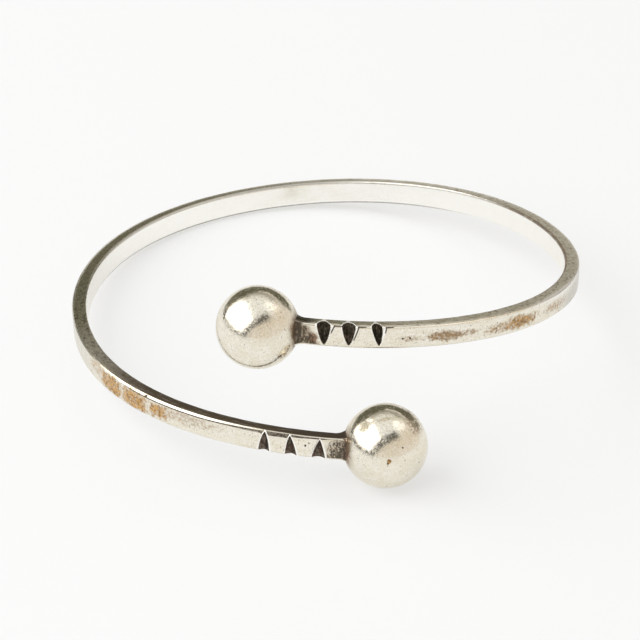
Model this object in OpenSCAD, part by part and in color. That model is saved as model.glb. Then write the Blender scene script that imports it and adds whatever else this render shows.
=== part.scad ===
// A crossover bangle: one flat strip wound a little more than once round the wrist,
// with a hollow ball soldered to each end and three V notches filed beside each ball.
// It lies as it would by itself, on the lower ball and on the strip's edge at the back.

/* [Strip] */
// Thickness, from the inner to the outer face
strip_t = 1.85; // [1.6:0.05:2.4]
// Height, from the lower to the upper edge
strip_h = 2.95; // [2.7:0.05:4]
// How far the bevels of the outer face's edges go down that face
bevel_h = 0.45; // [0.1:0.05:0.6]
// How far those bevels go into the thickness
bevel_t = 0.2; // [0.05:0.05:0.4]
// Rounding of the inner face's edges
inner_round = 0.2; // [0.05:0.05:0.4]

/* [Bend, seen from above] */
// Mean radius, to the middle of the strip's thickness
ring_r = 32.6; // [29:0.1:36]
// How much the oval's long radius is over the mean, and its short one under it
oval = 1.7; // [0:0.1:3]
// Direction of the oval's long axis
oval_turn = 105; // [0:1:180]
// Hand-bent unevenness with three bulges: how far each stands out
egg = 0.45; // [0:0.05:1]
// Direction of the first of the three bulges
egg_turn = 89; // [0:1:120]
// Unevenness with four bulges
square = 0.17; // [0:0.01:0.5]
// Direction of the first of the four
square_turn = 52; // [0:1:90]
// How much the strip closes in from its middle to the lower end, and opens to the upper
close_in = 0.44; // [0:0.01:1.5]

/* [Winding, seen from the side] */
// How far the strip goes down in one whole turn
pitch = 15.4; // [14:0.1:18]
// How much flatter the winding runs near the ends than in the middle
ease = 0.7; // [0:0.1:1.5]
// How much both ends hang below a true winding
sag = 0.25; // [0:0.05:1]
// Lean of the strip's section at the middle of its length, top outward
lean_middle = 4.6; // [0:0.1:8]
// How much of that lean is lost towards each end
lean_lost = 6.4; // [0:0.1:9]

/* [Balls] */
// Diameter of the ball on the upper end
upper_ball_d = 10.25; // [9:0.05:12]
// Diameter of the ball on the lower end
lower_ball_d = 10.5; // [9:0.05:12]
// Wall of the hollow balls
ball_wall = 0.6; // [0.4:0.05:1]
// Direction of the upper ball, from the +X side and past the front
upper_turn = -103.3; // [-110:0.1:-98]
// Direction of the lower ball, on the strip's second pass of the front
lower_turn = 283.3; // [278:0.1:290]
// How far each ball is set off the strip's middle towards the other ball
ball_drop = 0.31; // [0:0.01:0.6]
// How far the upper ball is set outward, and the lower one inward
ball_out = 0.11; // [0:0.01:0.4]
// Radius of the solder's hollow between a ball and the strip
solder_r = 2; // [0.5:0.1:3]

/* [Notches] */
// Upper arm: how far each notch is from the ball's centre, along the strip
upper_notches = [7.9, 10.9, 14.3]; // [7.5:0.1:20]
// Lower arm: the same
lower_notches = [8.1, 11.5, 14.8]; // [7.5:0.1:20]
// Width of the three notches at the edge that they open on, from the ball outward
notch_widths = [1.6, 1.45, 1.3]; // [0.8:0.05:2]
// Upper arm: depth at that edge
upper_notch_deep = 1; // [0.3:0.05:1.2]
// Upper arm: height, from that edge to the point
upper_notch_h = 2.6; // [1.5:0.05:2.65]
// Lower arm: the same depth
lower_notch_deep = 0.65; // [0.3:0.05:1.2]
// Lower arm: the same height
lower_notch_h = 2.4; // [1.5:0.05:2.65]

/* [Rest] */
// How far the whole is tipped backward as it lies
tip_back = 9.66; // [8:0.01:12]
// How far it is tipped to the left
tip_left = 0.37; // [0:0.01:2]

/* [Hidden] */
$fn = 96;

// Widths of the steps between the strip's sections: along it, and in the solder
long_step = 2.5;
short_step = 0.6;
// Half-width of the step that a direction is measured over
probe = 0.5;
// How far a cutter reaches past what it cuts
past = 0.5;
// How deep the solder's hollow goes on under a ball's surface
bury = 0.25;

upper_ball_r = upper_ball_d / 2;
lower_ball_r = lower_ball_d / 2;
middle_turn = (upper_turn + lower_turn) / 2;
half_turn = (lower_turn - upper_turn) / 2;

// The strip's middle line: -1 at the upper ball, 0 at the back, 1 at the lower ball
function share(turn) = (turn - middle_turn) / half_turn;
function bend_r(turn) = ring_r
    + oval * cos(2 * (turn - oval_turn))
    + egg * cos(3 * (turn - egg_turn))
    + square * cos(4 * (turn - square_turn))
    - close_in * share(turn);
function rise(turn) = -pitch * (turn - middle_turn) / 360
    + ease * (share(turn) - pow(share(turn), 3))
    - sag * pow(share(turn), 2);
function middle(turn) = [bend_r(turn) * cos(turn), bend_r(turn) * sin(turn), rise(turn)];

// How many degrees of turn some length of strip takes, beside the end that lies at turn
function degrees_along(turn, mm) = mm * 180 / (PI * bend_r(turn));

// The three directions of a section: along the strip, out of its outer face, and up its height
function unit(v) = v / norm(v);
function along(turn) = unit(middle(turn + probe) - middle(turn - probe));
function level_out(turn) = unit(cross(along(turn), [0, 0, 1]));
function level_up(turn) = cross(level_out(turn), along(turn));
function lean(turn) = lean_lost * pow(share(turn), 2) - lean_middle;
function outward(turn) = cos(lean(turn)) * level_out(turn) + sin(lean(turn)) * level_up(turn);
function upward(turn) = cos(lean(turn)) * level_up(turn) - sin(lean(turn)) * level_out(turn);
function on_section(turn, p) = middle(turn) + outward(turn) * p.x + upward(turn) * p.y;

upper_ball_at = on_section(upper_turn, [ball_out, -ball_drop]);
lower_ball_at = on_section(lower_turn, [-ball_out, ball_drop]);

// The section, as [outward, up]: a flat bar with bevelled outer and rounded inner edges,
// with one more point in the middle of each face, for the solder to spread from
round_mid = inner_round * (1 - sqrt(0.5));
half_outline = [
    [strip_t / 2, 0],
    [strip_t / 2, strip_h / 2 - bevel_h],
    [strip_t / 2 - bevel_t, strip_h / 2],
    [0, strip_h / 2],
    [inner_round - strip_t / 2, strip_h / 2],
    [round_mid - strip_t / 2, strip_h / 2 - round_mid],
    [-strip_t / 2, strip_h / 2 - inner_round]
];
outline = concat(
    half_outline,
    [[-strip_t / 2, 0]],
    [for (i = [len(half_outline) - 1:-1:1]) [half_outline[i].x, -half_outline[i].y]]
);

// The solder, in the plane through a ball's centre. a is how far a point of the strip is off
// the line through that centre, s how far along it the section is from the centre.
// A hollow arc leaves the strip at hollow_start and meets the ball at hollow_end.
function hollow_start(a, r) = sqrt(pow(r + solder_r, 2) - pow(a + solder_r, 2));
function hollow_end(a, r) = hollow_start(a, r) * r / (r + solder_r);
function flared(a, s, r) =
    s >= hollow_start(a, r) ? a :
    s >= hollow_end(a, r) ? a + solder_r - sqrt(pow(solder_r, 2) - pow(hollow_start(a, r) - s, 2)) :
    sqrt(pow(r, 2) - pow(s, 2));

// One section near a ball of radius r at at, spread out by the solder
function flared_point(p, off, s, r) = off + unit(p - off) * flared(norm(p - off), s, r);
function ball_off(turn, at) = [(at - middle(turn)) * outward(turn), (at - middle(turn)) * upward(turn)];
function end_section(turn, at, r) = [
    for (p = outline)
        on_section(turn, flared_point(p, ball_off(turn, at), abs((at - middle(turn)) * along(turn)), r))
];
function plain_section(turn) = [for (p = outline) on_section(turn, p)];

// Where the solder's sections begin and stop, from the ball's centre
solder_inside = 4.2;
solder_outside = 7.2;
inside_turn = degrees_along(upper_turn, solder_inside);
outside_turn = degrees_along(upper_turn, solder_outside);
plain_from = upper_turn + outside_turn + 1;
plain_until = lower_turn - outside_turn - 1;
sections = concat(
    [
        for (t = [inside_turn:short_step:outside_turn])
            end_section(upper_turn + t, upper_ball_at, upper_ball_r - bury)
    ],
    [for (t = [plain_from:long_step:plain_until]) plain_section(t)],
    [
        for (t = [outside_turn:-short_step:inside_turn])
            end_section(lower_turn - t, lower_ball_at, lower_ball_r - bury)
    ]
);

// The whole is tipped as it lies, then set down with the middle of its outline over the origin
tip = [[cos(tip_left), 0, -sin(tip_left)], [0, 1, 0], [sin(tip_left), 0, cos(tip_left)]]
    * [[1, 0, 0], [0, cos(tip_back), sin(tip_back)], [0, -sin(tip_back), cos(tip_back)]];
tipped = [for (ring = sections) for (p = ring) tip * p];
upper_tipped = tip * upper_ball_at;
lower_tipped = tip * lower_ball_at;
low_x = min([for (p = tipped) p.x]);
high_x = max([for (p = tipped) p.x]);
low_y = min(lower_tipped.y - lower_ball_r, upper_tipped.y - upper_ball_r);
high_y = max([for (p = tipped) p.y]);
set_down = [-(low_x + high_x) / 2, -(low_y + high_y) / 2, lower_ball_r - lower_tipped.z];
function placed(p) = tip * p + set_down;

// Skin of a row of closed sections that all have as many points
function cap(ring, count, flip) = [for (i = [0:count - 1]) ring * count + (flip ? count - 1 - i : i)];
function wall(rings, count) = [
    for (k = [0:rings - 2])
        for (i = [0:count - 1])
            let (a = k * count + i, b = k * count + (i + 1) % count)
                each [[a, b, a + count], [b, b + count, a + count]]
];

module strip() {
    count = len(outline);
    color("silver")
        polyhedron(
            points = [for (ring = sections) for (p = ring) placed(p)],
            faces = concat(
                [cap(0, count, true)],
                wall(len(sections), count),
                [cap(len(sections) - 1, count, false)]
            ),
            convexity = 6
        );
}

// A sphere's own seam is on its +X side, so turned keeps it away from the strip
module ball(at, r, turned) {
    color("gainsboro")
        translate(placed(at))
            rotate([0, 0, turned])
                sphere(r = r);
}

// A wedge as a three-square file cuts it. way is 1 where it opens on the upper edge, else -1
module notch(turn, width, high, deep, way) {
    point = [0, strip_t / 2, way * (strip_h / 2 - high)];
    deepest = [0, strip_t / 2 - deep, way * strip_h / 2];
    corner = [width / 2, strip_t / 2, way * strip_h / 2];
    longer = 1 + past / high;
    end = point + (deepest - point) * longer;
    side = (point + (corner - point) * longer - end) * (1 + past);
    start = point - (deepest - point) * past;
    function at_notch(p) = placed(on_section(turn, [p.y, p.z]) + along(turn) * p.x);
    color("dimgray")
        polyhedron(
            points = [for (p = [start, end, end + side, end + [-side.x, side.y, side.z]]) at_notch(p)],
            faces = way > 0
                ? [[0, 2, 1], [0, 1, 3], [0, 3, 2], [1, 2, 3]]
                : [[0, 1, 2], [0, 3, 1], [0, 2, 3], [1, 3, 2]]
        );
}

module notches() {
    for (i = [0:len(notch_widths) - 1]) {
        upper_at = upper_turn + degrees_along(upper_turn, upper_notches[i]);
        lower_at = lower_turn - degrees_along(lower_turn, lower_notches[i]);
        notch(upper_at, notch_widths[i], upper_notch_h, upper_notch_deep, 1);
        notch(lower_at, notch_widths[i], lower_notch_h, lower_notch_deep, -1);
    }
}

module bangle() {
    difference() {
        union() {
            strip();
            ball(upper_ball_at, upper_ball_r, 180);
            ball(lower_ball_at, lower_ball_r, 0);
        }
        ball(upper_ball_at, upper_ball_r - ball_wall, 180);
        ball(lower_ball_at, lower_ball_r - ball_wall, 0);
        notches();
    }
}

bangle();
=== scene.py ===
# %% [markdown]
# # A crossover cuff bangle
#
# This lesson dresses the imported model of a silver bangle. The bangle is one flat bar, wound a
# little more than once round the wrist, with a hollow ball soldered to each end and three V
# notches pressed into the bar beside each ball.
#
# The frame comes first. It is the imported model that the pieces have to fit. Everything in it
# is in metres. A maker thinks in millimetres, so the pieces are modelled in millimetres and
# made a thousand times smaller as their last step.

# %% Load the fixed frame
import bisect
import math
from collections import namedtuple
from functools import reduce

import bmesh
import bpy
from mathutils import Matrix, Vector


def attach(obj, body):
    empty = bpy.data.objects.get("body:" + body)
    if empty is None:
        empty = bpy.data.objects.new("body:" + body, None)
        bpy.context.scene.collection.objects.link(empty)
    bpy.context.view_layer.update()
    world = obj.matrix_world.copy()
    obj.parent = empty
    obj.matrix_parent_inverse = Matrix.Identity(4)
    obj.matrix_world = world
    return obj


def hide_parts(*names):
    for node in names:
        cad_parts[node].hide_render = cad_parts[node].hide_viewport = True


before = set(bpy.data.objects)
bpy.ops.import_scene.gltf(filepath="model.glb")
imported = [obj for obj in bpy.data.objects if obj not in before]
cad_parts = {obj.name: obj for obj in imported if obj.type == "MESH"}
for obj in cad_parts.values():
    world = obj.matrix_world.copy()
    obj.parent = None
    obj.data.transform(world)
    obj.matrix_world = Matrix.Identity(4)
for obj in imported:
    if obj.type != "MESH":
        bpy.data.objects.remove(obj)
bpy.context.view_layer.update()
MM = 0.001

# %% [markdown]
# ## The winding
#
# The bar follows a helix that was bent by hand, so its radius isn't quite the same all round.
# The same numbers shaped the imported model. They are repeated here, because this script reads
# nothing but the frame.
#
# A turn is an angle in degrees, seen from above. Turn 0 is on the right, 90 is at the back, and
# the front is passed twice, at -90 by the upper arm and at 270 by the lower one. For each turn
# there is a point on the bar's middle line, and three directions: along the bar, out of its
# outer face and up its height.

# %% The helix and its sections
BAR_THICK, BAR_HIGH = 1.85, 2.95
MEAN_R = 32.6
UPPER_TURN, LOWER_TURN = -103.3, 283.3
MIDDLE_TURN = (UPPER_TURN + LOWER_TURN) / 2
HALF_TURN = (LOWER_TURN - UPPER_TURN) / 2


def wave(high, bulges, turn, first):
    return high * math.cos(math.radians(bulges * (turn - first)))


def share(turn):
    """-1 at the upper ball, 0 at the back and 1 at the lower ball."""
    return (turn - MIDDLE_TURN) / HALF_TURN


def middle(turn):
    r = (MEAN_R + wave(1.7, 2, turn, 105) + wave(0.45, 3, turn, 89) + wave(0.17, 4, turn, 52)
         - 0.44 * share(turn))
    rise = (-15.4 * (turn - MIDDLE_TURN) / 360 + 0.7 * (share(turn) - share(turn) ** 3)
            - 0.25 * share(turn) ** 2)
    angle = math.radians(turn)
    return Vector((r * math.cos(angle), r * math.sin(angle), rise))


def lean(turn):
    """How far the section leans, in degrees, with its top outward."""
    return 6.4 * share(turn) ** 2 - 4.6


def directions(turn):
    along = (middle(turn + 0.5) - middle(turn - 0.5)).normalized()
    level_out = along.cross(Vector((0, 0, 1))).normalized()
    level_up = level_out.cross(along)
    angle = math.radians(lean(turn))
    out = math.cos(angle) * level_out + math.sin(angle) * level_up
    up = math.cos(angle) * level_up - math.sin(angle) * level_out
    return along, out, up


def on_section(turn, out_mm, up_mm):
    _, out, up = directions(turn)
    return middle(turn) + out * out_mm + up * up_mm


STEP = 0.25
turns = [UPPER_TURN + STEP * i for i in range(int((LOWER_TURN - UPPER_TURN) / STEP) + 1)]
if turns[-1] < LOWER_TURN:
    turns.append(LOWER_TURN)
lengths = [0.0]
for before, after in zip(turns, turns[1:]):
    lengths.append(lengths[-1] + (middle(after) - middle(before)).length)
BAR_LONG = lengths[-1]


def turn_at(length):
    """The turn that is reached after so many millimetres of bar from the upper ball."""
    i = min(max(bisect.bisect(lengths, length), 1), len(lengths) - 1)
    part = (length - lengths[i - 1]) / (lengths[i] - lengths[i - 1])
    return turns[i - 1] + part * (turns[i] - turns[i - 1])


print("bar from ball to ball:", round(BAR_LONG, 2), "mm")

# %% [markdown]
# ## How it lies
#
# The bangle rests on the lower ball and on the bar's edge at the back, so it is tipped back by
# nearly ten degrees. One matrix tips it, sets it down on the floor and changes millimetres to
# metres. Every piece is moved by this same matrix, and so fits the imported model.

# %% The matrix that sets it down
BACK, LEFT = math.radians(9.66), math.radians(0.37)
tip = Matrix(((math.cos(LEFT), 0, -math.sin(LEFT)), (0, 1, 0), (math.sin(LEFT), 0, math.cos(LEFT))))
tip = tip @ Matrix(((1, 0, 0), (0, math.cos(BACK), math.sin(BACK)),
                    (0, -math.sin(BACK), math.cos(BACK))))
UPPER_BALL_R, LOWER_BALL_R = 10.25 / 2, 10.5 / 2
upper_ball_at = on_section(UPPER_TURN, 0.11, -0.31)
lower_ball_at = on_section(LOWER_TURN, -0.11, 0.31)
corners = [tip @ on_section(t, o, u) for t in turns[::4]
           for o in (-BAR_THICK / 2, BAR_THICK / 2) for u in (-BAR_HIGH / 2, BAR_HIGH / 2)]
front = min((tip @ lower_ball_at).y - LOWER_BALL_R, (tip @ upper_ball_at).y - UPPER_BALL_R)
TO_THE_LEFT = 0.287
set_down = Vector((
    -TO_THE_LEFT,
    -(front + max(c.y for c in corners)) / 2,
    LOWER_BALL_R - (tip @ lower_ball_at).z,
))
place = Matrix.Scale(MM, 4) @ Matrix.Translation(set_down) @ tip.to_4x4()
print("set down by", [round(c, 3) for c in set_down])

# %% [markdown]
# ## The camera
#
# A product photograph of jewellery is taken with a long lens from far away, so that the near
# and far sides keep their proportions. The camera looks down by 31.5 degrees from 80 cm. The
# lens of 353 mm lets the bangle fill the same share of the picture as in the photograph.

# %% Camera
LOOK_DOWN = math.radians(31.5)
FAR = 0.8
aim = Vector((-0.574, 3.03, 2.09)) * MM
toward_camera = Vector((0, -math.cos(LOOK_DOWN), math.sin(LOOK_DOWN)))
bpy.ops.object.camera_add(location=aim + toward_camera * FAR,
                          rotation=(math.pi / 2 - LOOK_DOWN, 0, 0))
camera = bpy.context.object
camera.name = "camera"
camera.data.lens = 353
camera.data.sensor_width = 36
camera.data.clip_start, camera.data.clip_end = 0.01, 20
bpy.context.scene.camera = camera

# %% [markdown]
# ## Shader nodes in one line
#
# A material here is a graph of nodes, and so is the room. One helper adds a node and fills its
# sockets: a number or a colour is set on the socket, and another node's output is linked to it.
# Names in small letters are the node's own settings, such as the kind of math it does. New nodes
# go into the one tree that is being worked on, so no call has to name it.

# %% Helpers: add nodes
tree = None


def work_on(owner):
    """Empties the nodes of a material or world, and puts new ones there from now on."""
    global tree
    owner.use_nodes = True
    tree = owner.node_tree
    tree.nodes.clear()
    return owner


def add(kind, *sockets, **settings):
    made = tree.nodes.new(kind)
    for name, value in settings.items():
        setattr(made, name, value)
    for name, value in sockets:
        socket = made.inputs[name]
        if isinstance(value, bpy.types.NodeSocket):
            tree.links.new(value, socket)
        else:
            socket.default_value = value
    return made


def calc(operation, *values, clamp=False):
    """A Math node, and its output."""
    return add("ShaderNodeMath", *enumerate(values), operation=operation,
               use_clamp=clamp).outputs[0]


def times(*values):
    """The product of several masks or numbers."""
    return reduce(lambda product, value: calc("MULTIPLY", product, value), values)


def combine(*masks):
    """The strongest of several masks."""
    return reduce(lambda most, mask: calc("MAXIMUM", most, mask), masks)


def scaled(value, by, plus):
    """The value times by, plus a number or another value."""
    return calc("MULTIPLY_ADD", value, by, plus)


def opposite(mask):
    return calc("SUBTRACT", 1.0, mask)


def vector_calc(operation, *values):
    made = add("ShaderNodeVectorMath", *enumerate(values), operation=operation)
    return made.outputs["Value" if operation in ("LENGTH", "DISTANCE") else 0]


def ramp(value, low, high, to_low=0.0, to_high=1.0):
    """Goes smoothly from to_low to to_high while value goes from low to high."""
    return add("ShaderNodeMapRange", ("Value", value), ("From Min", low), ("From Max", high),
               ("To Min", to_low), ("To Max", to_high), clamp=True,
               interpolation_type="SMOOTHSTEP").outputs["Result"]


def mix(amount, first, second):
    """A mix of two colours."""
    return add("ShaderNodeMix", (0, amount), (6, first), (7, second), data_type="RGBA").outputs[2]


def noise(where, scale, detail=3.0, rough=0.55, distort=0.0):
    return add("ShaderNodeTexNoise", ("Vector", where), ("Scale", scale), ("Detail", detail),
               ("Roughness", rough), ("Distortion", distort)).outputs["Fac"]


def stretch(where, by, at=(0, 0, 0)):
    """The pattern's coordinates, moved so that at is their middle, then multiplied."""
    return vector_calc("MULTIPLY", vector_calc("SUBTRACT", where, at), by)


# %% [markdown]
# ## Floor
#
# The bangle lies on seamless white paper. A disc large enough to reach behind every view stands
# for it. The shadows in the photograph are very faint, as on a light table. So part of the
# paper's brightness is its own light, and the rest of it is quite matt.

# %% Floor
FLOOR_R = 2.5
bpy.ops.mesh.primitive_circle_add(vertices=96, radius=FLOOR_R, fill_type="NGON",
                                  location=(0, 0, 0))
floor = bpy.context.object
floor.name = "paper_floor"
paper = bpy.data.materials.new("white_paper")
paper.use_nodes = True
paper_shader = paper.node_tree.nodes["Principled BSDF"]
for name, value in (
    ("Base Color", (0.41, 0.42, 0.435, 1)),
    ("Emission Color", (1, 1, 1, 1)),
    ("Emission Strength", 0.52),
    ("Roughness", 0.9),
    ("Specular IOR Level", 0.1),
):
    paper_shader.inputs[name].default_value = value
floor.data.materials.append(paper)

# %% [markdown]
# ## Studio light
#
# Polished silver has hardly any colour of its own, and shows the room. Two things make its
# look: a very large softbox that leans over the table from the left, and what lies round the
# table. In the balls one can read that room: a dark wall behind, a warm one in front, a lamp on
# the right, and the dark shape of the camera on its arm.
#
# The softbox and the lamp are area lights. The room is a world shader, which gives a colour for
# each direction. The camera itself always sees the paper's white there.

# %% Softbox and lamp
def toward(azimuth, elevation):
    """The direction of a thing: azimuth 0 is at the camera, 90 on the right."""
    a, e = math.radians(azimuth), math.radians(elevation)
    return Vector((math.sin(a) * math.cos(e), -math.cos(a) * math.cos(e), math.sin(e)))


def area_light(name, azimuth, elevation, distance, wide, high, brightness, shape="RECTANGLE"):
    at = toward(azimuth, elevation) * distance
    bpy.ops.object.light_add(type="AREA", location=at)
    light = bpy.context.object
    light.name = name
    light.rotation_euler = (-at).to_track_quat("-Z", "Y").to_euler()
    light.data.shape = shape
    light.data.size, light.data.size_y = wide, high
    surface = wide * high * (math.pi / 4 if shape == "ELLIPSE" else 1)
    light.data.energy = brightness * math.pi * surface
    light.visible_camera = False


area_light("softbox", -78.5, 38, 0.9, 1.46, 0.93, 1.75)
area_light("small_lamp", 103, 58, 0.9, 0.5, 0.5, 0.45, "ELLIPSE")

# %% The room
world = work_on(bpy.data.worlds.new("studio"))
bpy.context.scene.world = world
to_room = add("ShaderNodeTexCoord").outputs["Generated"]
sideways, backward, upward = add("ShaderNodeSeparateXYZ", (0, to_room)).outputs
azimuth = times(calc("ARCTAN2", sideways, times(backward, -1.0)), 180 / math.pi)
elevation = times(calc("ARCSINE", upward), 180 / math.pi)
WARM_WALL, CEILING = (0.83, 0.76, 0.68, 1), (0.92, 0.92, 0.90, 1)
DARK_WALL, GREY_WALL = (0.125, 0.12, 0.08, 1), (0.36, 0.35, 0.30, 1)
DARK_SHAPE, FAR_PAPER = (0.07, 0.07, 0.06, 1), (0.90, 0.90, 0.89, 1)


def within(value, low, high, soft):
    """1 between low and high, 0 outside, with soft borders."""
    return times(ramp(value, low - soft, low + soft), ramp(value, high - soft, high + soft, 1, 0))


behind = ramp(calc("ABSOLUTE", azimuth), 122, 134)
left_behind = times(behind, ramp(azimuth, -5, 5, 1, 0))
right_behind = times(behind, ramp(azimuth, -5, 5))
colour = mix(ramp(elevation, 50, 60), WARM_WALL, CEILING)
grey_part = times(behind, within(elevation, 0, 50, 4))
colour = mix(grey_part, colour, GREY_WALL)
light_line = times(right_behind, within(elevation, 30, 36, 1.5))
colour = mix(light_line, colour, WARM_WALL)
dark_part = combine(times(left_behind, within(elevation, 3, 38, 3)),
                    times(right_behind, within(elevation, 3, 29, 1.5)))
colour = mix(dark_part, colour, DARK_WALL)
under_softbox = times(within(azimuth, -128, -40, 3), within(elevation, -1, 12, 1))
colour = mix(under_softbox, colour, DARK_SHAPE)

# %% [markdown]
# The camera on its arm is a dark band. It comes up from the left of the table, bends over above
# the camera's place and goes on to the right. Its height grows fast at first and then less and
# less, which a power of a number just below one gives. A steep band would be too narrow if its
# width were measured upward, so the width is divided by a factor for its slope.

# %% The camera on its arm
ARM_START, ARM_TOP = -40, 54
falling = calc("POWER", 0.951, calc("SUBTRACT", azimuth, ARM_START))
arm_elevation = scaled(falling, -ARM_TOP, ARM_TOP)
slope = times(falling, 2.8)
steepness = calc("SQRT", scaled(slope, slope, 1.0))
off_arm = calc("DIVIDE", calc("ABSOLUTE", calc("SUBTRACT", elevation, arm_elevation)), steepness)
arm = times(ramp(off_arm, 7.5, 13, 1, 0), within(azimuth, -50, 58, 6))
colour = mix(arm, colour, DARK_SHAPE)
colour = mix(ramp(elevation, -1, 0, 1, 0), colour, FAR_PAPER)
sees_paper = add("ShaderNodeLightPath").outputs["Is Camera Ray"]
colour = mix(sees_paper, colour, (0.94, 0.94, 0.94, 1))
sky = add("ShaderNodeBackground", ("Color", colour), ("Strength", 1.0))
add("ShaderNodeOutputWorld", ("Surface", sky.outputs[0]))
bpy.context.scene.view_settings.view_transform = "Standard"

# %% [markdown]
# ## The bar, flat
#
# A silversmith makes such a bangle from a straight length of flat bar. The marks are made while
# the bar still lies flat on the bench, and it is bent round a mandrel last. The same order
# serves here: a section is drawn, extruded to the bar's length, filed and notched while it is
# straight, and bent at the end. A sweep along the helix would be quicker, but no notch could be
# pressed into it afterwards by simple measures along, up and out.
#
# The flat bar lies along X from the upper ball's centre to the lower one's. Its outer face
# looks along -Y and its upper edge along +Z.

# %% Helpers: select by place
def points_where(piece, test):
    """In edit mode, selects the points whose place passes the test."""
    bpy.ops.mesh.select_mode(type="VERT")
    work = bmesh.from_edit_mesh(piece.data)
    for point in work.verts:
        point.select_set(bool(test(point.co)))
    work.select_flush_mode()
    bmesh.update_edit_mesh(piece.data)


def edges_where(piece, test):
    """In edit mode, selects the edges whose two ends pass the test."""
    bpy.ops.mesh.select_mode(type="EDGE")
    work = bmesh.from_edit_mesh(piece.data)
    for edge in work.edges:
        edge.select_set(bool(test(edge.verts[0].co, edge.verts[1].co)))
    bmesh.update_edit_mesh(piece.data)


# %% [markdown]
# ### Its section
#
# The section starts as a plane. Two cuts mark where the outer bevels begin, the outer corners
# are moved in to slope them, and a vertex bevel rounds the inner corners. Only the outline is
# wanted, so the faces are deleted. The long sides are then cut into short steps, because the
# file and the notches need points to work on.

# %% Draw the section
# the bar's ends lie inside the balls, this far from their centres
INSIDE_BALL = 4.3
BAR_START, BAR_END = INSIDE_BALL, BAR_LONG - INSIDE_BALL
HALF_T, HALF_H = BAR_THICK / 2, BAR_HIGH / 2
BEVEL_HIGH, BEVEL_DEEP = 0.45, 0.2
INNER_ROUND = 0.25
bpy.ops.mesh.primitive_plane_add(size=1, location=(BAR_START, 0, 0), rotation=(0, math.pi / 2, 0))
bar = bpy.context.object
bar.name = "bar"
bpy.ops.object.transform_apply(location=True, rotation=True, scale=True)
bpy.ops.object.mode_set(mode="EDIT")
bpy.ops.transform.resize(value=(1, BAR_THICK, BAR_HIGH), center_override=(BAR_START, 0, 0))
for height in (HALF_H - BEVEL_HIGH, BEVEL_HIGH - HALF_H):
    bpy.ops.mesh.select_all(action="SELECT")
    bpy.ops.mesh.bisect(plane_co=(0, 0, height), plane_no=(0, 0, 1))
bpy.ops.mesh.select_all(action="SELECT")
bpy.ops.mesh.delete(type="ONLY_FACE")
edges_where(bar, lambda a, b: abs(a.z - b.z) < 0.001 and abs(a.z) < HALF_H - 0.1)
bpy.ops.mesh.delete(type="EDGE")
points_where(bar, lambda p: p.y < 0 and abs(p.z) > HALF_H - 0.01)
bpy.ops.transform.translate(value=(0, BEVEL_DEEP, 0))
points_where(bar, lambda p: p.y > 0 and abs(p.z) > HALF_H - 0.01)
bpy.ops.mesh.bevel(offset=INNER_ROUND, offset_type="OFFSET", segments=4, affect="VERTICES")
# outer face and bevels, upper and lower edge, inner face: where, and the length of a step
for where, step in (
    (lambda a, b: a.y < -0.7 and b.y < -0.7, 0.075),
    (lambda a, b: abs(a.z - b.z) < 0.001, 0.1),
    (lambda a, b: a.y > 0.9 and b.y > 0.9, 0.32),
):
    long_sides = [0.3]
    while long_sides:
        work = bmesh.from_edit_mesh(bar.data)
        long_sides = [e.calc_length() for e in work.edges
                      if e.calc_length() > 1.5 * step and where(e.verts[0].co, e.verts[1].co)]
        if long_sides:
            longest = max(long_sides)
            edges_where(bar, lambda a, b: where(a, b) and abs((a - b).length - longest) < 0.01)
            bpy.ops.mesh.subdivide(number_cuts=round(longest / step) - 1)
print("points round the section:", len(bmesh.from_edit_mesh(bar.data).verts))

# %% [markdown]
# ### Its length
#
# The section is extruded from station to station, in twelve long stretches. Their long edges
# are then subdivided: into steps of 0.06 mm where the notches come, 0.1 mm at the solder and
# 0.33 mm elsewhere. One extrusion for each thin slice gives the same mesh, but takes ten times
# as long.

# %% Extrude it to its length
NOTCHES_END = 15.9
PLAIN_LONG = BAR_LONG - 32.2
stations = [BAR_START, 6.6, 11.25, NOTCHES_END]
stations += [NOTCHES_END + PLAIN_LONG * i / 6 for i in (1, 2, 3, 4, 5, 6)]
stations += [BAR_LONG - 11.55, BAR_LONG - 6.8, BAR_END]
bpy.ops.mesh.select_mode(type="EDGE")
bpy.ops.mesh.select_all(action="SELECT")
for before, after in zip(stations, stations[1:]):
    bpy.ops.mesh.extrude_edges_move(TRANSFORM_OT_translate={"value": (after - before, 0, 0)})
for shortest, longest, pieces in ((1, 3, 24), (3, 6, 78), (25, 40, 96)):
    edges_where(bar, lambda a, b: shortest < abs(a.x - b.x) < longest)
    bpy.ops.mesh.subdivide(number_cuts=pieces - 1)
for end in (BAR_START, BAR_END):
    points_where(bar, lambda p: abs(p.x - end) < 0.001)
    bpy.ops.mesh.edge_face_add()
bpy.ops.mesh.select_all(action="SELECT")
bpy.ops.mesh.normals_make_consistent(inside=False)
bpy.ops.object.mode_set(mode="OBJECT")
print("faces of the flat bar:", len(bar.data.polygons))

# %% [markdown]
# ### Where things are on it
#
# The tarnish, the soot at the solder and the scratches have to follow the bar round its bend.
# So each point keeps its place on the flat bar in an attribute, which the material reads later.

# %% Keep the flat places
flat_place = bar.data.attributes.new("flat", "FLOAT_VECTOR", "POINT")
for point, kept in zip(bar.data.vertices, flat_place.data):
    kept.vector = point.co

# %% [markdown]
# ### Filed bevels
#
# The outer edges were filed by hand, to a bevel of half a right angle, and wear has rounded the
# corner above it. The upper bevel is wide on the left side of the bangle and thin elsewhere. A
# table gives its height at some places along the bar, another how softly it turns into the
# outer face, and each point of the outer half is moved to its filed place.

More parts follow.
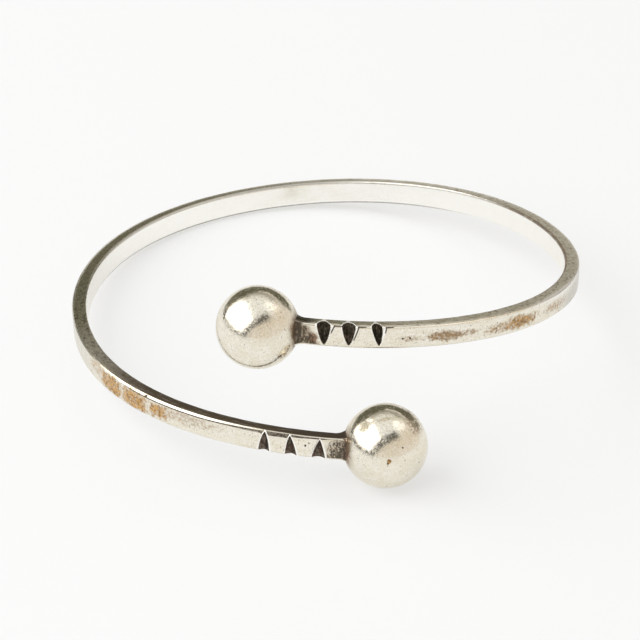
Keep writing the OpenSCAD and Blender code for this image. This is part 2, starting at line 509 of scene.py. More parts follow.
# %% File the bevels
UPPER_BEVEL = ((0, 0.12), (16, 0.12), (24, 0.1), (60, 0.08), (110, 0.07), (150, 0.08), (166, 0.12),
               (180, 0.16), (190, 0.23), (199, 0.22), (203, 0.17), (207, 0.12), (210, 0.1),
               (222, 0.1))
SOFT_CORNER = ((0, 0.05), (200, 0.05), (203, 0.2), (205, 0.3), (209, 0.35), (211, 0.12),
               (222, 0.08))
LOWER_BEVEL = 0.24
WORN_WIDE, WORN_DROP, LOWER_WORN = 0.5, 0.13, 0.03
CROWN = 0.02
# painted shade, a dark line in the corner under the bevel: its width and its strength, along the
# bar
BEVEL_SHADE_WIDE = ((0, 0), (184, 0), (188, 0.12), (206, 0.14), (206.9, 0.4), (209.6, 0.38),
             (210.3, 0.2), (214, 0.12), (216, 0))
BEVEL_SHADE_STRONG = ((0, 0), (184, 0), (188, 0.8), (206, 1), (206.9, 1), (209.6, 1), (210.3, 0.9),
               (214, 0.7), (216, 0))
# a soft corner lies further in, by this share of its softness
CORNER_IN = 0.4


def from_table(table, at):
    for (a, low), (b, high) in zip(table, table[1:]):
        if at <= b:
            return low + (high - low) * max(0.0, (at - a) / (b - a))
    return table[-1][1]


def edge_height(inward, out, worn):
    """Height of an edge of the bar, inward from the end of the bevel."""
    drop = worn * max(0.0, 1 - inward / WORN_WIDE) ** 2
    return HALF_H - drop - CROWN * (out / 0.8) ** 2


def filed(height, out, bevel, soft, worn):
    """Height and outward place after filing, and which part of the section it is."""
    line = HALF_H - worn - bevel
    corner_in = CORNER_IN * soft
    bevel_end = HALF_T - corner_in - bevel
    if height < HALF_H - BEVEL_HIGH - 0.001:
        height *= line / (HALF_H - BEVEL_HIGH)
        return height, HALF_T - corner_in * max(0.0, 1 - (line - height) / soft) ** 2, "face"
    if out > HALF_T - BEVEL_DEEP - 0.001:
        part = (height - HALF_H + BEVEL_HIGH) / BEVEL_HIGH
        return line + part * bevel, HALF_T - corner_in - part * bevel, "bevel"
    start, until = HALF_T - BEVEL_DEEP, INNER_ROUND - HALF_T
    part = ((start - out) / (start - until)) ** 1.5
    out = bevel_end + (until - bevel_end) * part
    return edge_height(bevel_end - out, out, worn), out, "edge"


kinds = []
bevel_ends = []
for point in bar.data.vertices:
    bevel, soft, worn = LOWER_BEVEL, 0.05, LOWER_WORN
    if point.co.z > 0:
        bevel, soft, worn = (from_table(UPPER_BEVEL, point.co.x),
                             from_table(SOFT_CORNER, point.co.x), WORN_DROP)
    kind = "inside"
    if -point.co.y > INNER_ROUND - HALF_T + 0.001:
        height, out, kind = filed(abs(point.co.z), -point.co.y, bevel, soft, worn)
        point.co.y, point.co.z = -out, math.copysign(height, point.co.z)
    kinds.append(kind)
    bevel_ends.append(HALF_T - CORNER_IN * soft - bevel)
print("points of each part of the section:", {kind: kinds.count(kind) for kind in set(kinds)})

# %% [markdown]
# ### Notches
#
# Each notch was pressed with a chisel that leaves a groove with a rounded V floor. It is
# deepest at the edge of the bar, where it opens, and runs out to a point near the other edge.
# Its sides swell like a pointed arch. The silver that the chisel pushed aside stands up as a
# lip. Beside the upper notches it is broad on the right, where it ends in a sharp crease, and
# beside the lower ones it is narrow. A Boolean cut would give the groove but neither lip nor
# crease, so the points are pressed in one by one: small functions give the depth and the lip at
# each place. The points are also marked for the material: the lips are painted bright, a painted
# highlight, and the crease beside an upper notch holds a thin dark line of painted shade.

# %% The shape of a notch
# distance from the ball's centre, width, height, depth, slant of the point, width of the right
# lip, the power by which that lip narrows, how far down the painted shade in its crease runs, two
# powers for how the sides swell, whether it opens upward (1) or downward (-1), and its place along
# the bar
Notch = namedtuple(
    "Notch", "from_ball wide high deep slant right_lip narrowing crease_end swell taper way x")
UPPER_NOTCHES = ((8.03, 1.72, 2.64, 1.0, 0.2, 0.42, 3.0, 0.5, 1.25, 0.62),
                 (11.02, 1.72, 2.6, 1.0, 0.16, 0.27, 1.5, 0.8, 1.25, 0.62),
                 (14.37, 1.36, 2.54, 0.95, 0.45, 0.38, 1.0, 0.42, 1.3, 0.62))
LOWER_NOTCHES = ((8.13, 1.74, 2.5, 0.6, 0.0, 0.14, 0.0, 0.0, 1.1, 0.76),
                 (11.42, 1.5, 2.6, 0.58, -0.3, 0.14, 0.0, 0.0, 1.25, 0.76),
                 (14.75, 1.42, 2.64, 0.55, -0.05, 0.14, 0.0, 0.0, 1.4, 0.7))
notches = [Notch(*n, 1, n[0]) for n in UPPER_NOTCHES]
notches += [Notch(*n, -1, BAR_LONG - n[0]) for n in LOWER_NOTCHES]
# the left lip's width, the lips' height, how far a right lip runs out, and the width of the painted
# shade line in the crease
LEFT_LIP, LIP_HIGH, LIP_END, CREASE_WIDE = 0.18, 0.075, 0.1, 0.15
# painted highlight: the open end of a lower groove is painted bright this far from the edge
OPEN_RIM_HIGHLIGHT = 0.15
# a lip on the edge behind a groove's opening: its width and height; it is painted bright as well
EDGE_LIP_WIDE, EDGE_LIP_HIGH = 0.24, 0.07
# the painted shade line in the crease beside an upper notch goes on along the bevel
CREASE_RUN, CREASE_UP, CREASE_THIN = 1.15, 0.13, 0.12
# a groove is wholly dark from this depth on
DARK_DEEP = 0.12
# all notches are this near to a ball's centre, and each one changes the bar as far as this
NOTCHED_LONG, NOTCH_REACH = 17, 1.6


def band(distance, width):
    """1 over most of a band that begins at distance 0, falling to 0 beyond its borders."""
    return min(1.0, max(0.0, 1.5 - abs(distance - width / 2) / (width / 2)))


def half_wide(down, notch):
    return notch.wide / 2 * max(0.0, 1 - (down / notch.high) ** notch.swell) ** notch.taper


def pressed(across, half, down, notch):
    """Depth of the groove."""
    if down >= notch.high or abs(across) >= half:
        return 0.0
    return notch.deep * (1 - down / notch.high) ** 0.5 * (1 - (abs(across) / half) ** 1.7)


def lip_and_crease_shade(across, half, down, notch):
    """Height of the lip beside the groove, from 0 to 1, and the painted shade in its crease."""
    along_side = min(1.0, down / notch.high)
    away = abs(across) - half + max(0.0, down - notch.high)
    # an upper notch's lips fade towards its point
    strength = 1 - 0.5 * along_side if notch.way > 0 else 1.0
    if across < 0:
        return max(0.0, 1 - away / LEFT_LIP) * strength, 0.0
    width = notch.right_lip * (1 - along_side) ** notch.narrowing + 0.03
    lip = (0.3 + 0.7 * away / width) if away < width else 1 - (away - width) / LIP_END
    to_end = min(1.0, max(0.0, 5 * (notch.crease_end - along_side)))
    return max(0.0, lip) * strength, band(away - width, CREASE_WIDE) * to_end


# %% Press the notches
for name in ("groove", "facet", "lip", "crease"):
    bar.data.attributes.new(name, "FLOAT", "POINT")
groove_marks, facet_marks, lip_highlight_marks, crease_shade_marks = (
    bar.data.attributes[name].data for name in ("groove", "facet", "lip", "crease"))


def press_outer(i, point, out, down, across, notch):
    """Presses a point of the outer face or bevel, and marks what lies there."""
    half = half_wide(down, notch)
    depth = pressed(across, half, down, notch)
    if depth > 0:
        point.co.y = -min(out, HALF_T - depth)
        # the open end of a lower groove is painted bright, a painted highlight
        dark_part = 0.0 if notch.way < 0 and down < OPEN_RIM_HIGHLIGHT else 1.0
        groove_marks[i].value = min(1.0, depth / DARK_DEEP) * dark_part
        lip_highlight_marks[i].value = 1 - dark_part
        facet_marks[i].value = across / half
        return
    # the lip is painted bright, a painted highlight, and the crease gets a dark line of painted
    # shade
    lip, crease = lip_and_crease_shade(across, half, down, notch)
    point.co.y = -(out + LIP_HIGH * lip)
    lip_highlight_marks[i].value = max(lip_highlight_marks[i].value, lip)
    if notch.way > 0:
        below_edge = down - WORN_DROP + CREASE_UP - from_table(UPPER_BEVEL, point.co.x)
        run = across - notch.wide / 2 - notch.right_lip
        if 0 < run < CREASE_RUN:
            thinning = min(1.0, 1.6 * (1 - run / CREASE_RUN))
            crease = max(crease, band(below_edge, CREASE_THIN) * thinning)
        crease_shade_marks[i].value = max(crease_shade_marks[i].value, crease)
    else:
        # beside a lower notch the lip wipes out the painted shade line under the bevel
        crease_shade_marks[i].value *= max(0.0, 1 - 4 * lip)


def press_edge(i, point, out, across, notch):
    """Moves a point of the bar's edge behind the opening of the groove, and raises its lip."""
    inner, edge, half = INNER_ROUND - HALF_T, bevel_ends[i], notch.wide / 2
    outline = min(edge, HALF_T - pressed(across, half, 0.0, notch))
    out = inner + (out - inner) * (outline - inner) / (edge - inner)
    behind_it = outline - out
    beside = abs(across) - half * max(0.0, 1 - (HALF_T - out) / notch.deep) ** 0.6
    away = max(0.0, beside) * behind_it / max(0.001, math.hypot(beside, behind_it))
    if abs(across) > half:
        away = math.hypot(abs(across) - half, behind_it)
    lip = max(0.0, 1 - away / EDGE_LIP_WIDE)
    worn = WORN_DROP if notch.way > 0 else LOWER_WORN
    point.co.y = -out
    point.co.z = notch.way * (edge_height(edge - out, out, worn) + EDGE_LIP_HIGH * lip)
    # the lip on the edge is painted bright too, a painted highlight
    lip_highlight_marks[i].value = max(lip_highlight_marks[i].value, lip)


# first each point gets its share of the painted shade line under the upper bevel
for i, point in enumerate(bar.data.vertices):
    x = point.co.x
    if kinds[i] in ("face", "bevel") and point.co.z > 0:
        below = HALF_H - WORN_DROP - from_table(UPPER_BEVEL, x) - point.co.z
        width = from_table(BEVEL_SHADE_WIDE, x)
        if width > 0:
            crease_shade_marks[i].value = from_table(BEVEL_SHADE_STRONG, x) * band(below, width)
    if NOTCHED_LONG < x < BAR_LONG - NOTCHED_LONG:
        continue
    for notch in notches:
        if abs(x - notch.x) > notch.wide / 2 + NOTCH_REACH:
            continue
        out, down = -point.co.y, max(0.0, HALF_H - notch.way * point.co.z)
        across = x - notch.x - notch.slant * down / notch.high
        if kinds[i] in ("face", "bevel"):
            press_outer(i, point, out, down, across, notch)
        elif kinds[i] == "edge" and notch.way * point.co.z > 0:
            press_edge(i, point, out, across, notch)
print("points in the grooves:", sum(mark.value > 0.5 for mark in groove_marks))

# %% [markdown]
# ### Solder
#
# Where the bar meets a ball, the solder has drawn a small hollow curve between them. The
# section spreads out along an arc that touches both the bar and the ball. Where the arc begins
# depends on how far a point of the section is from the line through the ball's centre.

# %% Spread the ends to the balls
SOLDER_R, SOLDER_END = 2.0, 7.3
# the spread end lies this far under the ball's surface
BURY = 0.25


def spread_out(off_axis, from_centre, ball_r):
    begins = math.sqrt(max(0.0, (ball_r + SOLDER_R) ** 2 - (off_axis + SOLDER_R) ** 2))
    ends = begins * ball_r / (ball_r + SOLDER_R)
    if from_centre >= begins:
        return off_axis
    if from_centre >= ends:
        return off_axis + SOLDER_R - math.sqrt(SOLDER_R ** 2 - (begins - from_centre) ** 2)
    return math.sqrt(ball_r ** 2 - from_centre ** 2)


near_ends = {}
for point in bar.data.vertices:
    if point.co.x < SOLDER_END or point.co.x > BAR_LONG - SOLDER_END:
        near_ends.setdefault(round(point.co.x, 4), []).append(point)
for along_bar, ring in near_ends.items():
    turn = turn_at(along_bar)
    centre, ball_r = ((upper_ball_at, UPPER_BALL_R) if along_bar < 50
                      else (lower_ball_at, LOWER_BALL_R))
    along, out, up = directions(turn)
    to_centre = centre - middle(turn)
    axis = Vector((to_centre.dot(out), to_centre.dot(up)))
    for point in ring:
        off = Vector((-point.co.y, point.co.z)) - axis
        off *= spread_out(off.length, abs(to_centre.dot(along)), ball_r - BURY) / off.length
        point.co.y, point.co.z = -(off.x + axis.x), off.y + axis.y

# %% [markdown]
# ### Bend it round the wrist
#
# The Curve modifier bends a straight piece along a curve. The curve has one point for each
# quarter of a degree of the helix. Its twist follows the vertical, and each point's tilt gives
# the lean of the section there. Before it, a Displace modifier with a broad cloud pattern makes
# the faces a little uneven, as hammering and wear do, so that their reflections waver. The edge
# that lies on the paper is worn, so it ends a few hundredths of a millimetre above the paper.

# %% Bend and set down
def clouds(name, size, depth):
    texture = bpy.data.textures.new(name, "CLOUDS")
    texture.noise_scale, texture.noise_depth = size, depth
    return texture


def dent(piece, texture, strength):
    """Moves the faces of a piece in and out by a broad cloud pattern."""
    dents = piece.modifiers.new("Dents", "DISPLACE")
    dents.texture = texture
    dents.texture_coords = "LOCAL"
    dents.strength = strength
    dents.mid_level = 0.5
    bpy.ops.object.modifier_apply(modifier="Dents")


def pick(piece):
    bpy.ops.object.select_all(action="DESELECT")
    piece.select_set(True)
    bpy.context.view_layer.objects.active = piece


pick(bar)
dent(bar, clouds("unevenness", 2.2, 2), 0.035)
guide_curve = bpy.data.curves.new("winding", "CURVE")
guide_curve.dimensions = "3D"
guide_curve.twist_mode = "Z_UP"
winding = guide_curve.splines.new("POLY")
winding.points.add(len(turns) - 1)
for point, turn in zip(winding.points, turns):
    point.co = (*middle(turn), 1)
    point.tilt = -math.radians(lean(turn))
guide = bpy.data.objects.new("winding", guide_curve)
bpy.context.collection.objects.link(guide)
bend = bar.modifiers.new("Bend", "CURVE")
bend.object = guide
bend.deform_axis = "POS_X"
bpy.ops.object.modifier_apply(modifier="Bend")
bpy.data.objects.remove(guide)


def put_in_place(piece):
    """Sets a piece down with the matrix, which then belongs to its mesh."""
    pick(piece)
    piece.matrix_world = place @ piece.matrix_world
    bpy.ops.object.transform_apply(location=True, rotation=True, scale=True)


put_in_place(bar)
bpy.ops.object.shade_smooth_by_angle(angle=math.radians(38))
lowest = min(point.co.z for point in bar.data.vertices)
print("the bar's lowest point is", round(lowest / MM, 3), "mm above the paper")

# %% [markdown]
# ## The balls
#
# Each ball was raised from sheet in two halves and soldered, so it isn't quite round. An
# icosphere has no poles, and its faces are alike all over, so a broad cloud pattern can dent it
# evenly. The upper ball is a quarter of a millimetre smaller than the lower one.

# %% Make the balls
dents = clouds("dents", 2.6, 1)


def make_ball(name, centre, radius, dented):
    bpy.ops.mesh.primitive_ico_sphere_add(subdivisions=7, radius=radius, location=centre)
    ball = bpy.context.object
    ball.name = name
    bpy.ops.object.transform_apply(location=True, rotation=True, scale=True)
    dent(ball, dents, dented)
    put_in_place(ball)
    bpy.ops.object.shade_smooth()
    print(name, "has", len(ball.data.polygons), "faces")
    return ball


upper_ball = make_ball("upper_ball", upper_ball_at, UPPER_BALL_R, 0.035)
lower_ball = make_ball("lower_ball", lower_ball_at, LOWER_BALL_R, 0.045)

# %% [markdown]
# ## Worn silver
#
# Silver that was worn for years is bright, slightly warm and never clean. Fine scratches blur
# its reflections. A thin yellow film lies on the places that aren't rubbed, and a brown or
# black one in the grooves and at the solder.
#
# The bar's material reads the flat places, in millimetres, so every stain has a measure along
# the bar. Each stain is a mask: an oval patch whose edge a noise breaks up. The shader's
# specular tint is a little dark, because worn silver doesn't brighten to the full at a glancing
# angle.

# %% Colours of the silver
CLEAN, FILM = (0.88, 0.845, 0.75, 1), (0.81, 0.755, 0.62, 1)
BURNISHED, GREY_PAINTED_REFLECTION = (0.955, 0.945, 0.9, 1), (0.66, 0.65, 0.61, 1)
BROWN, DEEP_BROWN = (0.30, 0.21, 0.125, 1), (0.06, 0.043, 0.028, 1)
EDGE_BROWN, RED_BROWN = (0.08, 0.058, 0.035, 1), (0.20, 0.105, 0.06, 1)
SOOT = (0.038, 0.03, 0.018, 1)
GROOVE_DARK, GROOVE_LIGHT = (0.024, 0.021, 0.012, 1), (0.17, 0.135, 0.1, 1)
RUBBED_AND_HIGHLIGHT_WHITE, GREY_SHADE = (0.985, 0.975, 0.95, 1), (0.36, 0.35, 0.32, 1)
CORNER_BROWN, RED_GROOVE = (0.14, 0.105, 0.07, 1), (0.09, 0.036, 0.025, 1)
RUST_LIGHT, RUST_DARK = (0.60, 0.35, 0.115, 1), (0.23, 0.115, 0.035, 1)


def patch(where, at, size, ragged, soft=0.35, wild=1.8):
    """An oval patch round a place, with its edge broken up by a noise value."""
    far = vector_calc("LENGTH", stretch(where, [1 / s for s in size], at))
    far = calc("ADD", far, scaled(ragged, wild, -wild / 2))
    return ramp(far, 1 - soft, 1 + soft, 1, 0)


def mark(name):
    """How strongly a mark on the bar's points is set, from 0 to 1."""
    return add("ShaderNodeAttribute", attribute_name=name).outputs["Fac"]


# depth of the fine relief, in metres
RELIEF = 0.00005


def finish_material(colour, roughness, metal, height, strength):
    """The shader, fed with colour, roughness and a height for the fine relief."""
    bump = add("ShaderNodeBump", ("Strength", strength), ("Distance", RELIEF), ("Height", height))
    shader = add("ShaderNodeBsdfPrincipled", ("Base Color", colour), ("Roughness", roughness),
                 ("Metallic", metal), ("Normal", bump.outputs[0]),
                 ("Specular Tint", (0.98, 0.97, 0.94, 1)))
    add("ShaderNodeOutputMaterial", ("Surface", shader.outputs[0]))


# %% [markdown]
# ### The bar: clean and filmed places
#
# The outer face was rubbed by sleeves and has a film in long streaks. The inner face was rubbed
# by the wrist and is the cleanest part, nearly white. The outer face at the far left and the far
# right of the bangle is painted grey, a painted darker reflection. The masks come from the flat
# places: y tells the outer face from the inner one and z the upper edge from the lower one.

# %% The bar's film
bar_silver = work_on(bpy.data.materials.new("worn_silver_bar"))
flat = add("ShaderNodeAttribute", attribute_name="flat").outputs["Vector"]
x_flat, y_flat, z_flat = add("ShaderNodeSeparateXYZ", (0, flat)).outputs
fine = noise(flat, 3.0, 5, 0.7)
coarse = noise(flat, 0.9, 4, 0.6)
ragged = noise(flat, 1.9, 6, 0.7)
streaks = noise(stretch(flat, (0.3, 2.4, 2.4)), 1.6, 5, 0.6)
outer = ramp(y_flat, -0.66, -0.74)
inner = ramp(y_flat, 0.8, 0.9)
on_top = times(ramp(z_flat, HALF_H - 0.2, HALF_H - 0.08), ramp(y_flat, -0.64, -0.5))
on_upper = ramp(x_flat, 50, 60, 1, 0)
on_lower = opposite(on_upper)
film = calc("ADD", times(ramp(streaks, 0.4, 0.65), 0.7), times(ramp(fine, 0.42, 0.62), 0.5),
            clamp=True)
colour = mix(film, CLEAN, FILM)
colour = mix(times(inner, ramp(coarse, 0.25, 0.6, 1, 0.88)), colour, BURNISHED)
# painted reflection: the outer face is painted grey at the far left and the far right, and a little
# greyer at the right bend
painted_grey_sides = combine(patch(flat, (164, -0.9, 0), (13, 1, 3), ragged, 0.5, 1.2),
                    patch(flat, (51, -0.9, 0), (8, 1, 3), ragged, 0.5, 1.2))
colour = mix(times(painted_grey_sides, outer, ramp(ragged, 0.3, 0.6, 0.35, 0.8)), colour, GREY_PAINTED_REFLECTION)
painted_grey_bend = times(patch(flat, (50.5, -0.9, -0.5), (5, 1, 1.5), ragged, 0.5, 1.2), outer)
colour = mix(times(painted_grey_bend, 0.4), colour, GREY_SHADE)

# %% [markdown]
# ### Rust-brown stains
#
# The stains sit on the outer face of both arms. Each is a ragged oval, given by its place along
# the bar and up it, half its length and half its height, in millimetres. Close up a stain is a
# crowd of orange and brown specks with clean silver between them, so a finer noise decides the
# shade of each spot, and another one leaves gaps.

# %% Stains
STRONG_STAINS = ((183.4, -0.1, 2.4, 1.15), (188.1, -0.1, 2.4, 1.15), (192.4, -0.05, 1.5, 0.8),
                 (34.2, -0.12, 3.0, 0.65), (23.0, -0.12, 2.2, 0.55))
FAINT_STAINS = ((179.6, 0.45, 1.8, 0.6), (196.5, 0.25, 4.2, 0.7), (30.6, -0.25, 2.2, 0.5),
                (41.8, 0.0, 2.8, 0.5), (18.6, -0.2, 1.3, 0.3), (26.0, -0.05, 1.6, 0.3))


def stains(ovals, *edge):
    return combine(*[patch(flat, (x, -0.9, z), (long, 2, high), ragged, *edge)
                     for x, z, long, high in ovals])


specks = noise(flat, 2.1, 4, 0.7)
gaps = noise(stretch(flat, (1, 1, 1.6), (7, 3, 5)), 2.6, 4, 0.65)
strong, faint = stains(STRONG_STAINS, 0.3, 2.8), stains(FAINT_STAINS)
strong = times(strong, ramp(gaps, 0.37, 0.51, 0.5, 1.0), outer)
faint = times(faint, ramp(gaps, 0.42, 0.6, 0.1, 0.85), ramp(x_flat, 193, 195, 1, 0.7), outer)
stained = combine(strong, faint)
dark_rust = combine(ramp(specks, 0.47, 0.57), ramp(stained, 0.45, 0.75, 0.8, 0))
dark_rust = times(dark_rust, scaled(on_upper, 0.2, 0.8))
rust = mix(dark_rust, RUST_LIGHT, RUST_DARK)
browner = combine(times(ramp(x_flat, 26, 29, 0.8, 0.25), on_upper),
                  ramp(x_flat, 193, 195, 0, 0.6))
rust = mix(browner, rust, BROWN)
colour = mix(times(stained, 0.97), colour, rust)

# %% [markdown]
# ### Tarnish on the edges
#
# The upper edge of the lower arm is brown, and nearly black towards the ball. On the right side
# of the bangle dirt lies in the inner corner of the upper edge. Further back that corner is
# painted grey, a painted shade that dims its reflection, and at the back the lower inner corner
# holds a dark line of painted shade. The upper bevel is brown at the back and rubbed bright at
# the right bend. A brown line of painted shade runs along the lower edge of the upper arm's
# outer face.

# %% Tarnish
top_tarnish = times(on_top, ramp(x_flat, 166, 191), ramp(streaks, 0.28, 0.5, 0.7, 1))
colour = mix(top_tarnish, colour, EDGE_BROWN)
on_bevel = times(ramp(z_flat, 1.02, 1.06), ramp(y_flat, -0.7, -0.74))
rim_dirt = times(combine(times(on_top, 0.12), times(on_bevel, 0.8)), ramp(x_flat, 98, 114),
                 ramp(x_flat, 160, 167, 1, 0))
colour = mix(rim_dirt, colour, EDGE_BROWN)
rubbed_rim = times(patch(flat, (43.5, -0.8, 1.4), (7, 0.6, 0.7), ragged, 0.5, 0.9), 0.8)
black_top = times(on_top, combine(ramp(x_flat, 205, 216), ramp(x_flat, 5.8, 7.8, 1, 0)))
colour = mix(times(black_top, 0.9), colour, DEEP_BROWN)
# the inner corner of the upper edge: brown dirt on the right side; further back it is painted grey,
# a painted shade that dims its reflection
inner_corner = times(ramp(z_flat, HALF_H - 0.36, HALF_H - 0.2), ramp(y_flat, 0.6, 0.72),
                     ramp(x_flat, 12, 20), ramp(x_flat, 78, 92, 1, 0.6),
                     ramp(x_flat, 140, 165, 1, 0))
# painted shade: a dark line in the lower inner corner at the back
lower_corner = times(ramp(z_flat, 0.26 - HALF_H, 0.16 - HALF_H), ramp(y_flat, 0.6, 0.75),
                     ramp(x_flat, 88, 100), ramp(x_flat, 148, 160, 1, 0))
corner_dirt_and_shade = times(combine(inner_corner, lower_corner), ramp(coarse, 0.3, 0.55, 0.7, 0.95))
on_right = times(ramp(z_flat, -0.1, 0.1), ramp(x_flat, 78, 92, 1, 0))
colour = mix(corner_dirt_and_shade, colour, mix(on_right, GREY_SHADE, CORNER_BROWN))
pits = noise(flat, 2.7, 2, 0.5)
pits = times(ramp(pits, 0.69, 0.74), opposite(inner))
on_arms = combine(times(ramp(x_flat, 8, 16), ramp(x_flat, 90, 110, 1, 0)), ramp(x_flat, 145, 165))
blotches = times(on_top, on_arms,
                 ramp(noise(stretch(flat, (0.8, 1.6, 1)), 1.9, 6, 0.75), 0.48, 0.64))
colour = mix(times(blotches, 0.75), colour, mix(ramp(x_flat, 100, 140), BROWN, EDGE_BROWN))
freckles = times(outer, ramp(noise(flat, 4.2, 3, 0.7), 0.56, 0.66),
                 ramp(coarse, 0.4, 0.6, 0.15, 0.6))
colour = mix(freckles, colour, BROWN)
# painted shade: a brown line along the lower edge of the upper arm's outer face
under_edge_shade = times(outer, ramp(z_flat, 0.12 - HALF_H, 0.04 - HALF_H), ramp(x_flat, 9, 12),
                   ramp(x_flat, 40, 60, 1, 0))
colour = mix(times(under_edge_shade, 0.7), colour, BROWN)
BLACK_DOTS = (((190.22, -0.8, 1.2), 0.22), ((205.1, -0.9, -1.12), 0.09),
              ((211.9, -0.9, 0.1), 0.12), ((17.6, -0.9, -0.15), 0.11),
              ((18.5, -0.9, -0.12), 0.12), ((212.3, -0.9, 0.4), 0.08))
dots = combine(*[patch(flat, at, (size, 0.5, size), fine, 0.4, 0.6) for at, size in BLACK_DOTS])
colour = mix(combine(times(pits, 0.6), dots), colour, DEEP_BROWN)

# %% [markdown]
# ### Soot at the solder, grooves and lips
#
# The flame of the soldering left soot on the first millimetres of each arm. It is brown below
# and black above it, broken by light upright streaks. The grooves are filled with the same
# black, and the left facet of each lower groove is painted lighter, as painted light. Their lips
# are painted bright, a painted highlight, and a thin dark line of painted shade lies in each
# crease.

# %% Soot, grooves and lips
upright = noise(stretch(flat, (1.5, 0.8, 0.8)), 2.2, 4, 0.65, 0.3)
flecks = noise(flat, 5.5, 3, 0.7)
mottled = scaled(flecks, 0.7, scaled(upright, 0.7, times(fine, 0.3)))
from_end = calc("MINIMUM", x_flat, calc("SUBTRACT", BAR_LONG, x_flat))
# on the upper arm the soot ends in a slanting border, on the lower one it fades away
slanting = scaled(z_flat, 0.75, scaled(ragged, 1.6, from_end))
upper_soot = times(on_upper, ramp(slanting, 7.3, 8.1, 1, 0))
lower_soot = times(on_lower, ramp(from_end, 4.4, 4.9, 0.4, 1),
                   ramp(scaled(z_flat, 0.5, from_end), 6.0, 8.2, 1, 0))
at_joint = ramp(from_end, 5.2, 5.8, 1, 0)
sootiness = combine(upper_soot, lower_soot)
on_flat_face = times(outer, ramp(z_flat, -1.2, -0.95),
                     combine(ramp(z_flat, 0.75, 1.05, 1, 0), at_joint))
near_ball = times(on_flat_face, sootiness)
colour = mix(times(near_ball, scaled(on_upper, 0.2, 0.6)), colour, BROWN)
reddish = combine(patch(flat, (6.9, -0.9, -0.4), (0.5, 1, 0.6), ragged, 0.4, 1.2),
                  times(ramp(from_end, 5.0, 5.5, 1, 0), on_lower))
colour = mix(times(reddish, on_flat_face, ramp(fine, 0.3, 0.6, 0.55, 0.9)), colour, RED_BROWN)
# the mottling is about 0.85 in the middle, so soot covers half of where there is most of it
soot = calc("ADD", mottled, scaled(sootiness, 0.3,
                                   scaled(on_lower, 0.05, times(at_joint, on_upper, 0.09))))
soot = times(on_flat_face, ramp(sootiness, 0, 0.1), ramp(soot, 1.04, 1.24))
colour = mix(times(soot, 0.9), colour, SOOT)
in_groove = mark("groove")
facet = mark("facet")
groove_noise = noise(stretch(flat, (2, 1, 1.1)), 2.4, 5, 0.75)
# painted light: the left facet of each lower groove faces the softbox and is painted lighter
painted_light_left_facet = times(ramp(facet, -0.1, 0.25, 1, 0), ramp(x_flat, 100, 101))
brownness = scaled(painted_light_left_facet, 0.07, groove_noise)
groove_colour = mix(ramp(brownness, 0.47, 0.62), GROOVE_DARK, GROOVE_LIGHT)
reddish_groove = times(ramp(noise(stretch(flat, (2, 1, 0.8)), 1.9, 2, 0.5), 0.55, 0.65),
                       ramp(x_flat, 100, 101, 0.2, 0.8))
groove_colour = mix(reddish_groove, groove_colour, RED_GROOVE)
dark = ramp(in_groove, 0.1, 0.5)
colour = mix(dark, colour, groove_colour)
on_lip_highlight = mark("lip")
in_crease_shade = mark("crease")
# painted highlight: the lips and the open ends of the lower grooves are painted nearly white
lip = times(ramp(on_lip_highlight, 0.15, 0.6), opposite(dark))
colour = mix(lip, colour, RUBBED_AND_HIGHLIGHT_WHITE)
colour = mix(rubbed_rim, colour, RUBBED_AND_HIGHLIGHT_WHITE)
# painted shade: a thin dark line in the crease beside each upper notch and under the upper bevel
crease = times(ramp(in_crease_shade, 0.05, 0.45), ramp(fine, 0.4, 0.65, 1, 0.75))
colour = mix(crease, colour, DEEP_BROWN)

# %% [markdown]
# ### Gloss and relief
#
# Clean silver is a metal. Soot and stains aren't, so they lower the metallic value and raise
# the roughness, and so does the painted shade in the creases and corners. The lips' painted
# highlight lowers the metallic value as well, so that they look white. The upper edge on the
# right side is dull from wear. A bump from fine scratches along the bar keeps the reflections
# from looking like glass.

# %% Gloss and relief of the bar
dirt_and_shade = combine(dark, soot, top_tarnish, crease, corner_dirt_and_shade, times(stained, 0.5))
dull_top = times(on_top, ramp(x_flat, 8, 20), ramp(x_flat, 70, 95, 1, 0))
roughness = calc("ADD", ramp(fine, 0.3, 0.75, 0.2, 0.3), times(dirt_and_shade, 0.3))
roughness = calc("ADD", roughness, times(dull_top, 0.2))
roughness = calc("SUBTRACT", roughness, times(inner, 0.1))
metal = opposite(times(combine(dirt_and_shade, lip, rubbed_rim), 0.5))
scratches = noise(stretch(flat, (0.4, 5, 5)), 2.5, 4, 0.6)
height = scaled(scratches, 0.5, times(fine, 0.5))
height = calc("SUBTRACT", height, times(combine(pits, dots), 0.8))
height = calc("ADD", height, times(soot, 0.6))
height = times(height, ramp(inner, 0, 1, 1, 0.3))
finish_material(colour, roughness, metal, height, 0.2)
bar.data.materials.append(bar_silver)
print("nodes in the bar's silver:", len(tree.nodes))

# %% [markdown]
# ### The balls
#
# A ball has no long direction, so its patterns are alike all round. Its places are measured
# from the ball's centre. The upper ball is duller. Both have pits, and a brown tint that grows
# towards the joint, where the solder was drawn in, redder at the lower ball. The first spot in
# each list is a rust-brown fleck, and the others are black.

# %% The balls' silver
def at_rest(point):
    return tip @ point + set_down


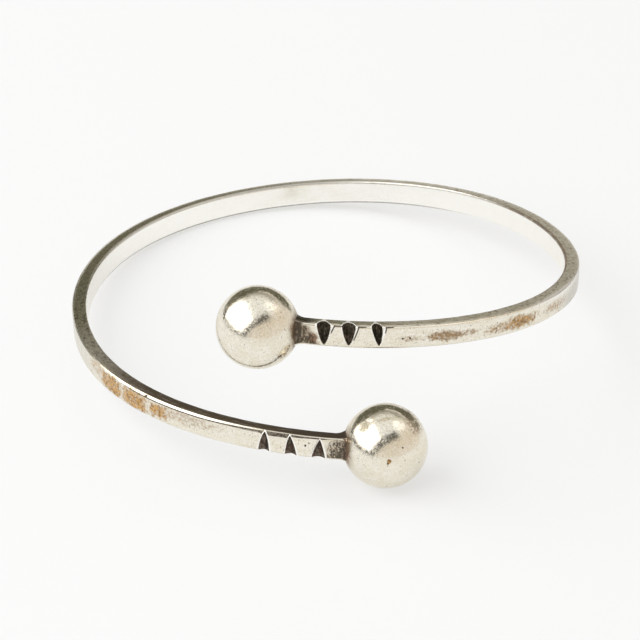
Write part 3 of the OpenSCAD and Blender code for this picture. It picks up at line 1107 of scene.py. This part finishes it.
def ball_silver(ball, ball_at, joint_turn, radius, spots, smudges, dull, grainy, red):
    centre = at_rest(ball_at)
    joint = (at_rest(middle(joint_turn)) - centre).normalized() * radius
    ball.data.materials.append(work_on(bpy.data.materials.new(ball.name + "_silver")))
    in_metres = add("ShaderNodeTexCoord").outputs["Object"]
    place_mm = vector_calc("MULTIPLY", in_metres, (1000, 1000, 1000))
    place_mm = vector_calc("SUBTRACT", place_mm, centre)
    fine = noise(place_mm, 3.4, 5, 0.65)
    coarse = noise(place_mm, 0.6, 4, 0.6)
    ragged = noise(place_mm, 1.7, 6, 0.7)
    colour = mix(ramp(fine, 0.4, 0.75), CLEAN, FILM)
    colour = mix(times(ramp(coarse, 0.4, 0.65), 0.8), colour, FILM)
    specks = ramp(noise(place_mm, 4.6, 3, 0.7), 0.5, 0.68, 0, 0.22)
    colour = mix(specks, colour, BROWN)
    pits = ramp(noise(place_mm, 3.6, 1, 0.5), 0.72, 0.77)
    dots = combine(*[patch(place_mm, at, (size, size, size), fine, 0.4, 0.8)
                     for at, size in spots])
    brown = combine(*[patch(place_mm, at, (size, size, size), ragged, 0.5, 2.4)
                      for at, size in smudges])
    brown = times(brown, ramp(fine, 0.42, 0.52))
    colour = mix(times(brown, 0.75), colour, BROWN)
    near_joint = vector_calc("DISTANCE", place_mm, joint)
    ragged_far = scaled(ragged, 1.6, calc("SUBTRACT", near_joint, 0.8))
    tint = ramp(ragged_far, 1.9, 3.3, 0.75, 0)
    colour = mix(tint, colour, BROWN)
    seam = ramp(ragged_far, 1.9, 2.4, 0.68, 0)
    colour = mix(seam, colour, mix(ramp(fine, 0.4, 0.6, red - 0.3, red), DEEP_BROWN, RED_BROWN))
    colour = mix(combine(times(pits, 0.6), dots), colour, DEEP_BROWN)
    fleck_at, fleck_size = spots[0]
    fleck = patch(place_mm, fleck_at, (0.8 * fleck_size, fleck_size, 1.2 * fleck_size), fine, 0.4,
                  1.6)
    colour = mix(fleck, colour, mix(ramp(fine, 0.35, 0.5), RUST_LIGHT, RUST_DARK))
    # seen at a slant, the surface is as clear as a mirror
    slant = add("ShaderNodeLayerWeight", ("Blend", 0.5)).outputs["Facing"]
    roughness = times(ramp(fine, 0.3, 0.75, dull, dull + 0.12), ramp(slant, 0.33, 0.52, 1, 0.35))
    roughness = scaled(combine(tint, brown), 0.2, roughness)
    metal = opposite(times(combine(seam, dots), 0.5))
    dimples = calc("ADD", ramp(noise(place_mm, 4.4, 2, 0.6), 0.54, 0.66),
                   ramp(noise(place_mm, 3.2, 2, 0.6), 0.42, 0.34))
    height = scaled(coarse, 1.4, times(dimples, grainy))
    height = calc("SUBTRACT", height, times(combine(pits, dots), 0.8))
    finish_material(colour, roughness, metal, height, 0.35)


UPPER_SPOTS = (((4.49, -2.38, -0.58), 0.1), ((0.16, -3.6, -3.6), 0.11),
               ((-4.55, -2.3, -0.4), 0.09))
LOWER_SPOTS = (((0.44, -5.08, 1.0), 0.24), ((0.3, -5.15, 0.72), 0.15),
               ((0.24, -5.18, 0.4), 0.08), ((2.08, -4.18, 2.38), 0.11),
               ((4.08, -3.26, -0.3), 0.09), ((0.15, -4.03, -3.35), 0.09),
               ((1.5, -4.9, 0.2), 0.06))
UPPER_SMUDGES = (((4.4, -1.8, 1.2), 1.0), ((3.3, -3.5, -1.7), 0.7))
LOWER_SMUDGES = (((3.57, -0.64, 3.78), 1.4), ((3.5, -1.68, 3.5), 0.8), ((0.9, 2.7, 4.3), 1.8),
                 ((3.0, 1.8, 3.8), 1.6))
# the joint is this many degrees from the ball's centre
TO_JOINT = 9
ball_silver(upper_ball, upper_ball_at, UPPER_TURN + TO_JOINT, UPPER_BALL_R, UPPER_SPOTS,
            UPPER_SMUDGES, dull=0.15, grainy=0.4, red=0.5)
ball_silver(lower_ball, lower_ball_at, LOWER_TURN - TO_JOINT, LOWER_BALL_R, LOWER_SPOTS,
            LOWER_SMUDGES, dull=0.12, grainy=0.35, red=1.2)

# %% [markdown]
# ## The pieces together
#
# The three pieces are one soldered thing, so all of them ride on the same body and take the
# place of the imported bangle, which is hidden.

# %% Ride, replace and finish
for piece in (bar, upper_ball, lower_ball):
    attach(piece, "root")
    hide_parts("bangle")
